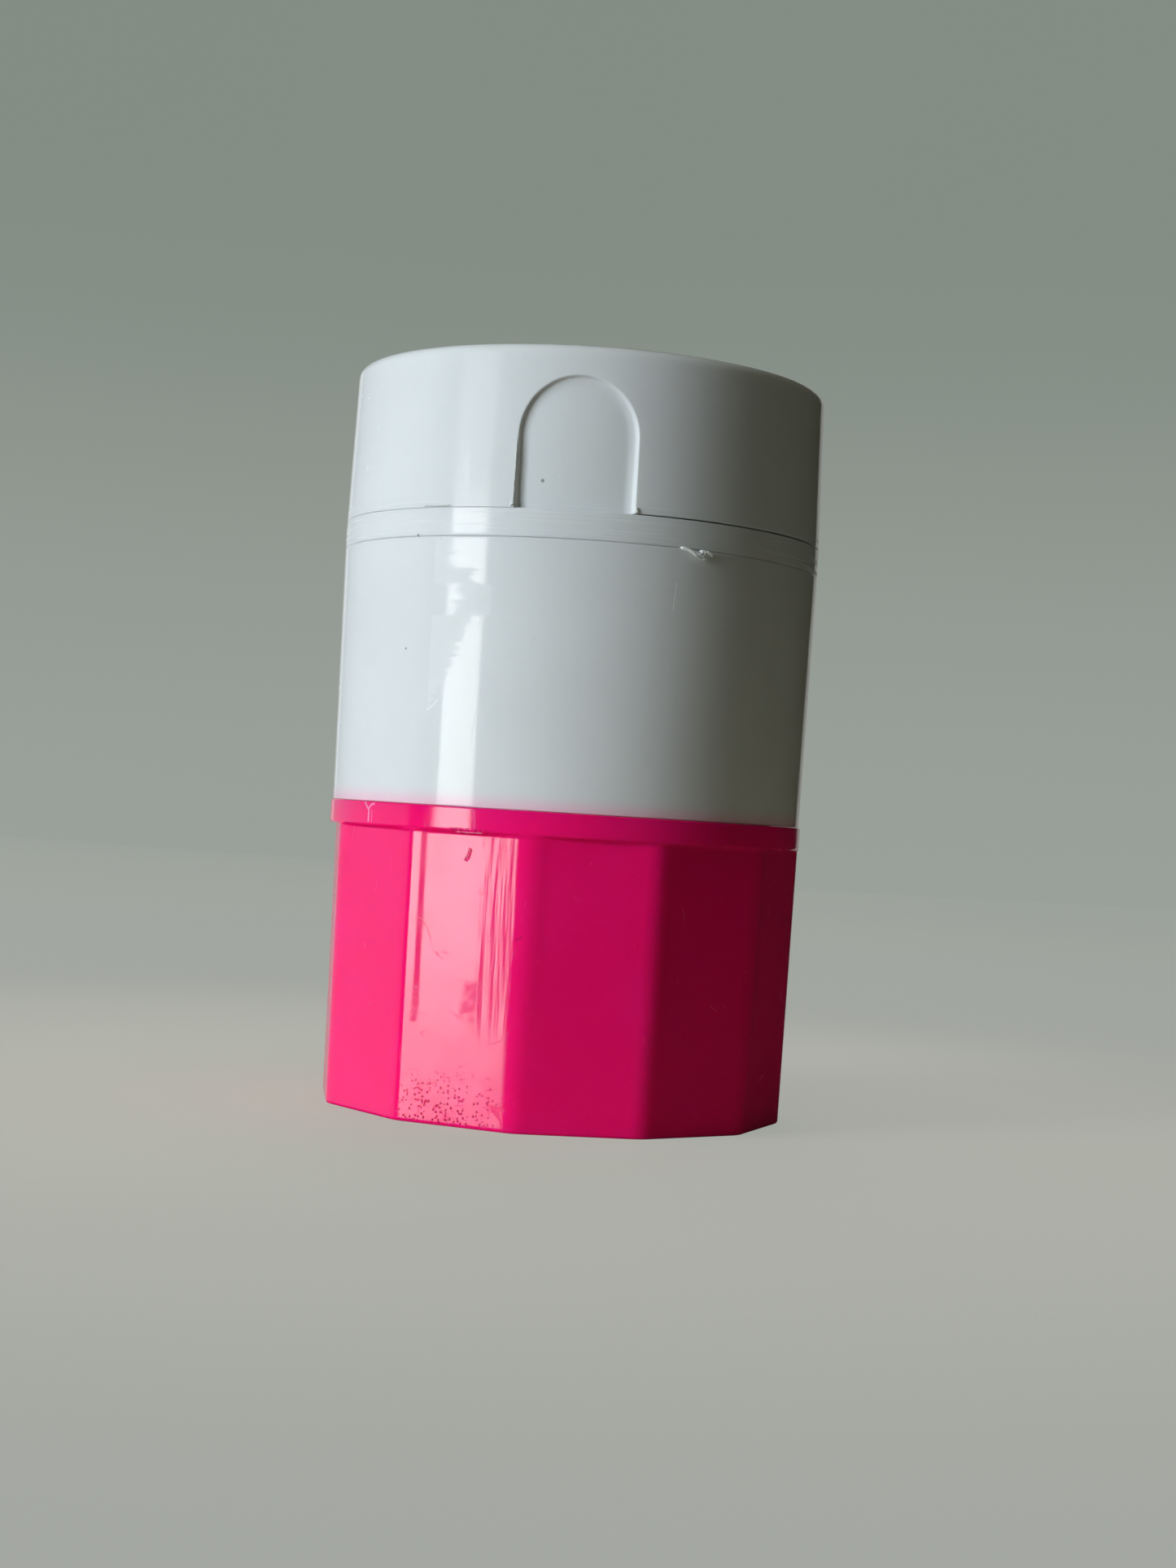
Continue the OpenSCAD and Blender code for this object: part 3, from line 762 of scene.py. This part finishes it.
def makeSeal():
    a, b, low, high = seal["inner"], seal["outer"], seal["foot"], shoulderZ
    groove = high - 0.14
    profile = rounded([(a + 0.7, low, 0), (b, low, 0.25), (b, high, 0.18), (b - 0.42, high, 0.1),
                       (b - 0.55, groove, 0.05), (a + 0.55, groove, 0.05), (a + 0.42, high, 0.1),
                       (a, high, 0.18), (a, low, 0.25), (a + 0.69, low, 0)])
    ring = addPiece("cupSeal", [spin(evenTurns(180), profile, closed=True)], "silicone")
    return settle(ring, "silicone", "seal", "cup_seal")


makeSeal()


# Steel pins, domed at their ends
pins = {"dome": 0.16, "bladePinR": 0.9, "bladePinHalf": 3.8}


def rod(radius, half, y, z):
    dome = [(0.0, 0.0), (0.55, 0.12), (0.85, 0.5), (1.0, 1.3), (1.0, 2.0)]  # in radii, and in domes
    rows = ([(radius * a, -half + pins["dome"] * b) for a, b in dome]
            + [(radius * a, half - pins["dome"] * b) for a, b in dome[::-1]])
    points, faces = spin(evenTurns(48), rows)
    return alongX(points, y, z), faces


hingePin = addPiece("hingePin", [rod(pinR, pinHalf, pinY, seamZ)], "pin_steel")
settle(hingePin, "pin_steel", "cutter", "hinge_pin")
bladePins = addPiece("bladePins", [rod(pins["bladePinR"], pins["bladePinHalf"], side * lid["holeY"],
                                       lid["holeZ"]) for side in (-1, 1)], "pin_steel")
settle(bladePins, "pin_steel", "lid", "blade_pins")
print("seal and pins made")


# Guide and blade holder: softened copies of the frame's own solids
soften = {"width": 0.16, "segments": 3, "weld": 0.01, "flatAngle": 0.5, "edgeAngle": 35}


def softenedCopy(name, node, slot, body):
    piece = newObject(name, nodes[node].data.copy())
    weld = piece.modifiers.new("weld", "WELD")
    weld.merge_threshold = soften["weld"] * mm
    flat = piece.modifiers.new("flat", "DECIMATE")
    flat.decimate_type = "DISSOLVE"
    flat.angle_limit = math.radians(soften["flatAngle"])
    edge = piece.modifiers.new("edge", "BEVEL")
    edge.width = soften["width"] * mm
    edge.segments = soften["segments"]
    edge.limit_method = "ANGLE"
    edge.angle_limit = math.radians(soften["edgeAngle"])
    edge.harden_normals = True
    return settle(piece, slot, body, node)


softenedCopy("pillGuide", "pill_guide", "guide_plastic", "cutter")
softenedCopy("bladeHolder", "blade_holder", "guide_plastic", "lid")
for materialSlot in nodes["blade"].material_slots:
    materialSlot.material = finishes["blade_steel"]
print("guide, holder and blade made")


# Repeated and path-following pieces, as node trees

def newTree(name, **labels):
    # Named inputs by kind, with the material last
    tree = bpy.data.node_groups.new(name, "GeometryNodeTree")
    for kind, names in {**labels, "Material": ["Material"]}.items():
        for label in names:
            tree.interface.new_socket(label, in_out="INPUT", socket_type="NodeSocket" + kind)
    tree.interface.new_socket("Geometry", in_out="OUTPUT", socket_type="NodeSocketGeometry")
    return tree, Wire(tree, tree.nodes.new("NodeGroupInput").outputs[0])


def closeTree(tree, geometry, material):
    real = geometry.add("GeometryNodeRealizeInstances", {}, {0: geometry})
    last = real.add("GeometryNodeSetMaterial", {}, {"Geometry": real, "Material": material})
    tree.links.new(last.socket, tree.nodes.new("NodeGroupOutput").inputs[0])


def grow(name, tree, given, slot, body, start=None, sharp=35, finish=None, flip=False):
    # Runs a tree on an empty mesh or on a path, and leaves a plain mesh on its body
    piece = newObject(name, start or bpy.data.meshes.new(name))
    modifier = piece.modifiers.new(name, "NODES")
    modifier.node_group = tree
    sockets = {item.name: item.identifier for item in tree.interface.items_tree if item.in_out == "INPUT"}
    for label, value in {**given, "Material": finishes[finish or slot]}.items():
        modifier[sockets[label]] = value
    mesh = bakedMesh(piece)
    bpy.data.objects.remove(piece)
    mesh.name = name
    if flip:
        mesh.flip_normals()
    mesh.shade_smooth()
    mesh.set_sharp_from_angle(angle=math.radians(sharp))
    made = newObject(name, mesh)
    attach(made, body)
    return made


def metres(lengths):
    return {label: length * mm for label, length in lengths.items()}


def upward(wire, amount):
    return wire.add("ShaderNodeCombineXYZ", {}, {2: amount})


def profileAlong(path, corners, rounding, steps, size):
    # Runs a four-cornered profile with rounded corners along a path
    points = {f"Point {k + 1}": path.add("ShaderNodeCombineXYZ", {}, {0: x, 1: y})
              for k, (x, y) in enumerate(corners)}
    profile = path.add("GeometryNodeCurvePrimitiveQuadrilateral", {"mode": "POINTS"}, points)
    soft = profile.add("GeometryNodeFilletCurve", {"mode": "POLY"}, {
        "Curve": profile, "Count": steps, "Radius": rounding * mm, "Limit Radius": True})
    upright = path.add("GeometryNodeSetCurveNormal", {"mode": "Z_UP"}, {"Curve": path})
    return upright.add("GeometryNodeCurveToMesh", {}, {
        "Curve": upright, "Profile Curve": soft, "Scale": size, "Fill Caps": True})


def endSize(near, slope, least):
    # Size of a profile: least at the ends of its path, whole further in
    return near.sum("MINIMUM", near * slope + least, 1.0)


def threadTree():
    tree, inputs = newTree("threadRidge", Float=[
        "Root Radius", "Rise", "Foot", "Pitch", "Turns", "Start Angle", "Root Width", "Crest Width", "Bite",
        "Fade Turns"])
    get = inputs.other
    deep = get("Root Radius") - get("Bite") * inputs.sum("SIGN", get("Rise"))
    spiral = inputs.add("GeometryNodeCurveSpiral", {}, {"Resolution": 72, "Rotations": get("Turns"),
                        "Start Radius": deep, "End Radius": deep, "Height": get("Pitch") * get("Turns"),
                        "Reverse": True})
    reach = get("Rise") + get("Bite") * inputs.sum("SIGN", get("Rise"))
    half, crest = get("Root Width") * 0.5, get("Crest Width") * 0.5
    along = inputs.add("GeometryNodeSplineParameter") * get("Turns")
    fade = inputs.sum("MINIMUM", along, get("Turns") - along) / get("Fade Turns")
    made = profileAlong(spiral, [(0.0, half * -1), (reach, crest * -1), (reach, crest), (0.0, half)],
                        0.18, 3, endSize(fade, 0.75, 0.25))
    placed = made.add("GeometryNodeTransform", {}, {
        "Geometry": made, "Translation": upward(inputs, get("Foot")),
        "Rotation": upward(inputs, get("Start Angle"))})
    closeTree(tree, placed, get("Material"))
    return tree


def toothTree():
    tree, inputs = newTree("crushingTeeth", Int=["Count"], Float=[
        "Hub", "Reach", "Width", "Height", "Crest", "Bite", "Level", "Start Angle"])
    get = inputs.other
    line = inputs.add("GeometryNodeCurvePrimitiveLine", {}, {
        "Start": inputs.add("ShaderNodeCombineXYZ", {}, {0: get("Hub")}),
        "End": inputs.add("ShaderNodeCombineXYZ", {}, {0: get("Reach")})})
    line = line.add("GeometryNodeResampleCurve", {}, {"Curve": line, "Count": 14})
    half, crest = get("Width") * 0.5, get("Crest") * 0.5
    corners = [(half * -1, get("Bite")), (half, get("Bite")), (crest, get("Height") * -1),
               (crest * -1, get("Height") * -1)]
    along = inputs.add("GeometryNodeSplineParameter")
    size = endSize(inputs.sum("MINIMUM", along, 1 - along), 14.0, 0.55)
    made = profileAlong(line, corners, 0.1, 2, size)
    places = inputs.add("GeometryNodePoints", {}, {"Count": get("Count")})
    index = inputs.add("GeometryNodeInputIndex")
    angle = index / get("Count") * (2 * math.pi) + get("Start Angle")
    ring = places.add("GeometryNodeInstanceOnPoints", {}, {
        "Points": places, "Instance": made, "Rotation": upward(inputs, angle)})
    lifted = ring.add("GeometryNodeTransform", {}, {
        "Geometry": ring, "Translation": upward(inputs, get("Level"))})
    closeTree(tree, lifted, get("Material"))
    return tree


def flashTree():
    # A thin ragged thread of plastic along a path
    tree, inputs = newTree("mouldFlash", Geometry=["Geometry"], Float=[
        "Thickness", "Wander", "Lumps", "Grain"], Int=["Seed"])
    get = inputs.other
    path = inputs.add("GeometryNodeResampleCurve", {}, {"Curve": get("Geometry"), "Count": 60})
    shift = get("Seed") * 7.31
    place = inputs.add("GeometryNodeInputPosition")
    drift = inputs.add("ShaderNodeTexNoise", {"noise_dimensions": "4D"}, {
        "Vector": place, "W": shift, "Scale": get("Grain"), "Detail": 2.0}, output="Color")
    centred = inputs.add("ShaderNodeVectorMath", {"operation": "SUBTRACT"}, {0: drift, 1: (0.5, 0.5, 0.5)})
    moved = inputs.add("ShaderNodeVectorMath", {"operation": "SCALE"}, {0: centred, "Scale": get("Wander")})
    ragged = path.add("GeometryNodeSetPosition", {}, {"Geometry": path, "Offset": moved})
    lump = inputs.add("ShaderNodeTexNoise", {"noise_dimensions": "4D"}, {
        "Vector": place, "W": shift + 7.0, "Scale": get("Grain") * 1.7, "Detail": 2.0})
    along = inputs.add("GeometryNodeSplineParameter")
    thin = endSize(inputs.sum("MINIMUM", along, 1 - along), 8.0, 0.15)
    size = inputs.sum("MAXIMUM", (1 + (lump - 0.5) * get("Lumps")) * thin, 0.12)
    ring = inputs.add("GeometryNodeCurvePrimitiveCircle", {}, {"Resolution": 8, "Radius": get("Thickness")})
    strand = ragged.add("GeometryNodeCurveToMesh", {}, {
        "Curve": ragged, "Profile Curve": ring, "Scale": size, "Fill Caps": True})
    closeTree(tree, strand, get("Material"))
    return tree


threads, teeth, flash = threadTree(), toothTree(), flashTree()

# Thread of the cup and of the neck; both ends of a ridge fade into the wall
ridge = {"pitch": 4.0, "turns": 1.5, "start": 0.0, "rise": 1.0, "root": 1.8, "crest": 0.8, "bite": 0.4,
         "fade": 0.125, "cupFoot": 18.4, "neckFoot": 16.4}


def makeThread(name, wallR, side, foot, slot, body):
    sizes = metres({"Root Radius": wallR, "Rise": side * ridge["rise"], "Foot": foot,
                    "Pitch": ridge["pitch"], "Root Width": ridge["root"], "Crest Width": ridge["crest"],
                    "Bite": ridge["bite"]})
    grow(name, threads, {**sizes, "Turns": ridge["turns"], "Start Angle": math.radians(ridge["start"]),
                         "Fade Turns": ridge["fade"]}, slot, body, flip=side < 0)


makeThread("cupThread", cup["boreR"], -1, ridge["cupFoot"], "pink_plastic", "cup")
makeThread("neckThread", body["neckR"], 1, ridge["neckFoot"], "white_plastic", "container")

# Radial teeth on the floor of the cup and under the pestle
tooth = {"count": 16, "hub": 2.4, "reach": 15.83, "width": 1.4, "height": 0.8, "crest": 0.16, "bite": 0.4}


def makeTeeth(name, level, facing, startDegrees, slot, body):
    sizes = metres({"Hub": tooth["hub"], "Reach": tooth["reach"], "Width": tooth["width"],
                    "Height": facing * tooth["height"], "Crest": tooth["crest"],
                    "Bite": facing * tooth["bite"], "Level": level})
    grow(name, teeth, {**sizes, "Count": tooth["count"], "Start Angle": math.radians(startDegrees)}, slot,
         body, flip=facing > 0)


makeTeeth("cupTeeth", cup["floor"], 1, 0, "pink_plastic", "cup")
makeTeeth("pestleTeeth", body["pestleZ"], -1, 180 / tooth["count"], "white_plastic", "container")
print("threads and teeth made")

# Moulding flash and burrs. The path's places are (degrees, height, radius).
flashGrain = 2600.0
flashes = [
    # name, body, thickness, wander, lumps, seed, path
    ("rimBurrTail", "cutter", 0.14, 0.12, 1.1, 3,
     [(24.4, 49.34, 21.58), (25.8, 49.30, 21.70), (27.4, 49.02, 21.82), (28.8, 48.72, 21.78)]),
    ("rimBurrCurl", "cutter", 0.18, 0.34, 1.7, 5,
     [(28.0, 49.10, 21.66), (29.3, 48.60, 21.95), (30.3, 49.05, 22.10), (28.9, 49.15, 22.0),
      (29.4, 48.55, 21.85), (30.8, 48.60, 21.72)]),
    ("rimBurrTip", "cutter", 0.10, 0.14, 1.5, 8,
     [(31.2, 49.25, 21.58), (32.0, 49.20, 21.72), (32.7, 48.90, 21.60)]),
    ("lidFlash", "lid", 0.06, 0.12, 2.2, 11,
     [(-37, 51.84, 21.49), (-34, 51.82, 21.53), (-31, 51.82, 21.52), (-29, 51.84, 21.49)]),
    ("recessFlash", "lid", 0.06, 0.10, 1.8, 14,
     [(-13.78, 51.95, 21.50), (-13.80, 53.0, 21.48), (-13.76, 55.2, 21.44), (-13.78, 57.4, 21.38)]),
    ("recessBeadLeft", "lid", 0.15, 0.10, 1.0, 17,
     [(-14.4, 51.94, 21.48), (-13.9, 51.94, 21.54), (-13.72, 52.25, 21.50)]),
    ("recessBeadRight", "lid", 0.14, 0.06, 1.0, 19,
     [(13.72, 52.30, 21.48), (13.70, 51.96, 21.54), (14.1, 51.92, 21.50)]),
    ("collarFlash", "cup", 0.06, 0.14, 2.4, 23,
     [(-28, 26.66, 21.22), (-22, 26.70, 21.26), (-15, 26.67, 21.24), (-8, 26.70, 21.22)]),
    ("gripFlash", "cup", 0.05, 0.14, 3.0, 29,
     [(-23, 24.62, 21.22), (-20.5, 24.60, 21.26), (-18, 24.62, 21.25), (-16, 24.61, 21.22)]),
]

for name, rider, thick, wander, lumps, seed, path in flashes:
    curve = bpy.data.curves.new(name, "CURVE")
    curve.dimensions = "3D"
    spline = curve.splines.new("NURBS")
    spline.points.add(len(path) - 1)
    for point, (turn, height, radius) in zip(spline.points, path):
        angle = math.radians(turn)
        point.co = (radius * math.sin(angle) * mm, -radius * math.cos(angle) * mm, height * mm, 1)
    spline.order_u = 3
    spline.use_endpoint_u = True
    spline.resolution_u = 12
    slot, finish = ("pink_plastic", "thinPink") if rider == "cup" else ("white_plastic", "thinWhite")
    grow(name, flash, {**metres({"Thickness": thick, "Wander": wander}), "Lumps": lumps,
                       "Grain": flashGrain, "Seed": seed}, slot, rider, curve, 180, finish)
print("flash and burrs made")


# Floor and backdrop in one bowl, a long way off, whose camera-seen tones near, far and high are painted
# light falloff
stage = {"colour": (0.15, 0.155, 0.125), "bright": (0.66, 0.60, 0.46), "brightTo": (50, 150),
         "near": (0.49, 0.51, 0.48), "far": (0.45, 0.49, 0.45), "farFrom": (60, 700),
         "high": (0.315, 0.37, 0.325), "highFrom": (0, 420), "shownLight": 0.7,
         "flat": 0.75, "wall": 1.35, "rise": 1.9}


def makeStage():
    rows = [(0, 0.0), (60, 0.0), (300, 0.0), (stage["flat"] * 1000, 0.0)]
    bend = (stage["wall"] - stage["flat"]) * 1000
    for k in range(1, 17):
        angle = k / 16 * math.pi / 2
        rows.append((stage["flat"] * 1000 + bend * math.sin(angle), bend * (1 - math.cos(angle))))
    rows.append((stage["wall"] * 1000, stage["rise"] * 1000))
    points, faces = spin(evenTurns(96), rows)
    faces = [face[::-1] for face in faces]
    floor = addPiece("floorAndBackdrop", [(points, faces)], "white_plastic", sharp=180)
    f = Finish("paperSweep", {"Roughness": 0.9, "Specular IOR Level": 0.1})
    cloud = mask(f.noise(0.004, 2), 0.3, 0.7)
    reach = (f.x * f.x + f.y * f.y) ** 0.5
    colour = blend(mask(reach, *stage["brightTo"]) * (1 - cloud * 0.05), stage["bright"], stage["colour"])
    height = f.noise(0.8, 4) * 0.03
    floor.data.materials.clear()
    floor.data.materials.append(f.connect(colour, 0.85 + f.noise(0.5, 2) * 0.1, height))
    # Painted light: the camera sees part of a painted falloff of light on the sweep, palest near the case
    # and darker far off and high up, with the shadow kept
    paintedBackdropFalloff = blend(mask(reach, *stage["farFrom"]), stage["near"], stage["far"])
    paintedBackdropFalloff = blend(mask(f.z, *stage["highFrom"]), paintedBackdropFalloff, stage["high"])
    glow = paintedBackdropFalloff.add("ShaderNodeEmission", {}, {"Color": paintedBackdropFalloff})
    seen = f.tree.add("ShaderNodeLightPath") * stage["shownLight"]
    lit = Wire(f.tree.tree, f.shader.outputs[0])
    mixed = glow.add("ShaderNodeMixShader", {}, {0: seen, 1: lit, 2: glow})
    f.tree.tree.links.new(mixed.socket, f.tree.tree.nodes["Material Output"].inputs[0])
    floor.visible_glossy = False


makeStage()


# Light: a tall window-like panel at the left, a broad soft lamp beside it, weak fill
lamps = [
    # name, turn in degrees, height above the floor, distance, width, height, power, colour, in gloss
    ("window", -52.0, 0.055, 0.75, 0.245, 0.23, 6.0, (1.0, 1.0, 0.98), True),
    ("windowLow", -52.0, -0.110, 0.75, 0.245, 0.10, 3.9, (1.0, 1.0, 0.98), True),
    ("windowHigh", -52.0, 0.245, 0.75, 0.245, 0.15, 1.0, (0.97, 1.0, 1.0), True),
    ("roomLeft", -118, 0.04, 0.75, 1.30, 0.50, 0.38, (0.94, 1.0, 1.06), True),
    ("softSide", -53, 0.12, 0.70, 0.26, 0.42, 15.8, (0.89, 1.0, 1.085), False),
    ("softTop", -20, 0.85, 0.25, 0.50, 0.50, 1.1, (1.0, 1.0, 0.84), False),
    ("softBack", 196, 0.40, 0.60, 0.50, 0.50, 1.5, (0.98, 1.0, 0.98), False),
    ("glowBack", 182, 0.12, 0.75, 0.70, 0.60, 0.34, (1.0, 1.0, 0.94), True),
]


def poseOf(*columns):
    return Matrix(np.vstack([np.column_stack(columns), [0, 0, 0, 1]]).tolist())


def addLamp(name, turn, height, distance, width, tall, radiance, colour, inGloss):
    angle = math.radians(turn)
    lamp = bpy.data.lights.new(name, "AREA")
    lamp.shape = "RECTANGLE"
    lamp.size = width
    lamp.size_y = tall
    lamp.energy = radiance * width * tall * math.pi
    lamp.color = colour
    holder = newObject(name, lamp)
    place = np.array([distance * math.sin(angle), -distance * math.cos(angle), height])
    ahead = np.array([0, 0, 0.03]) - place
    ahead = ahead / np.linalg.norm(ahead)
    right = np.cross(ahead, (0, 0, 1))
    right = right / np.linalg.norm(right)
    up = np.cross(right, ahead)
    holder.matrix_world = poseOf(right, up, -ahead, place)
    holder.visible_camera = False
    holder.visible_glossy = inGloss


for lampSpec in lamps:
    addLamp(*lampSpec)

# The room beyond: dim at eye level, brighter overhead, darker still in reflections
room = {"colour": (0.96, 0.98, 0.60), "low": 0.025, "high": 0.10, "inGloss": 0.25}


def makeRoom():
    world = bpy.data.worlds.new("room")
    world.use_nodes = True
    tree = Wire(world.node_tree)
    aim = tree.add("ShaderNodeTexCoord", output="Generated")
    up = mask(aim.add("ShaderNodeSeparateXYZ", {}, {0: aim}).other("Z"), 0.1, 0.9)
    gloss = tree.add("ShaderNodeLightPath", output="Is Glossy Ray")
    strength = (room["low"] + (room["high"] - room["low"]) * up) * (1 - gloss * (1 - room["inGloss"]))
    background = world.node_tree.nodes["Background"]
    background.inputs["Color"].default_value = (*room["colour"], 1)
    world.node_tree.links.new(strength.socket, background.inputs["Strength"])
    bpy.context.scene.world = world


makeRoom()


# Camera, level with the cup's collar and turned a little to the right
view = {"distance": 0.2172, "turn": 2.4, "height": 0.02676, "lens": 54.57, "roll": 0.06233, "dip": -0.01259,
        "swing": 0.00849}


def addCamera():
    def about(axis, angle):
        return np.array(Matrix.Rotation(angle, 3, axis))
    aim = (about("Y", view["roll"]) @ about("X", view["dip"]) @ about("Z", view["swing"])
           @ about("Z", -math.radians(view["turn"])))
    camera = newObject("camera", bpy.data.cameras.new("camera"))
    camera.data.lens = view["lens"]
    camera.data.sensor_width = 36
    camera.data.clip_start = 0.01
    camera.data.clip_end = 10
    angle = math.radians(view["turn"])
    place = [view["distance"] * math.sin(angle), -view["distance"] * math.cos(angle), view["height"]]
    camera.matrix_world = poseOf(aim[0], aim[2], -aim[1], place)
    bpy.context.scene.camera = camera


addCamera()
bpy.context.scene.view_settings.view_transform = "Standard"

print("camera, light and sizes done")
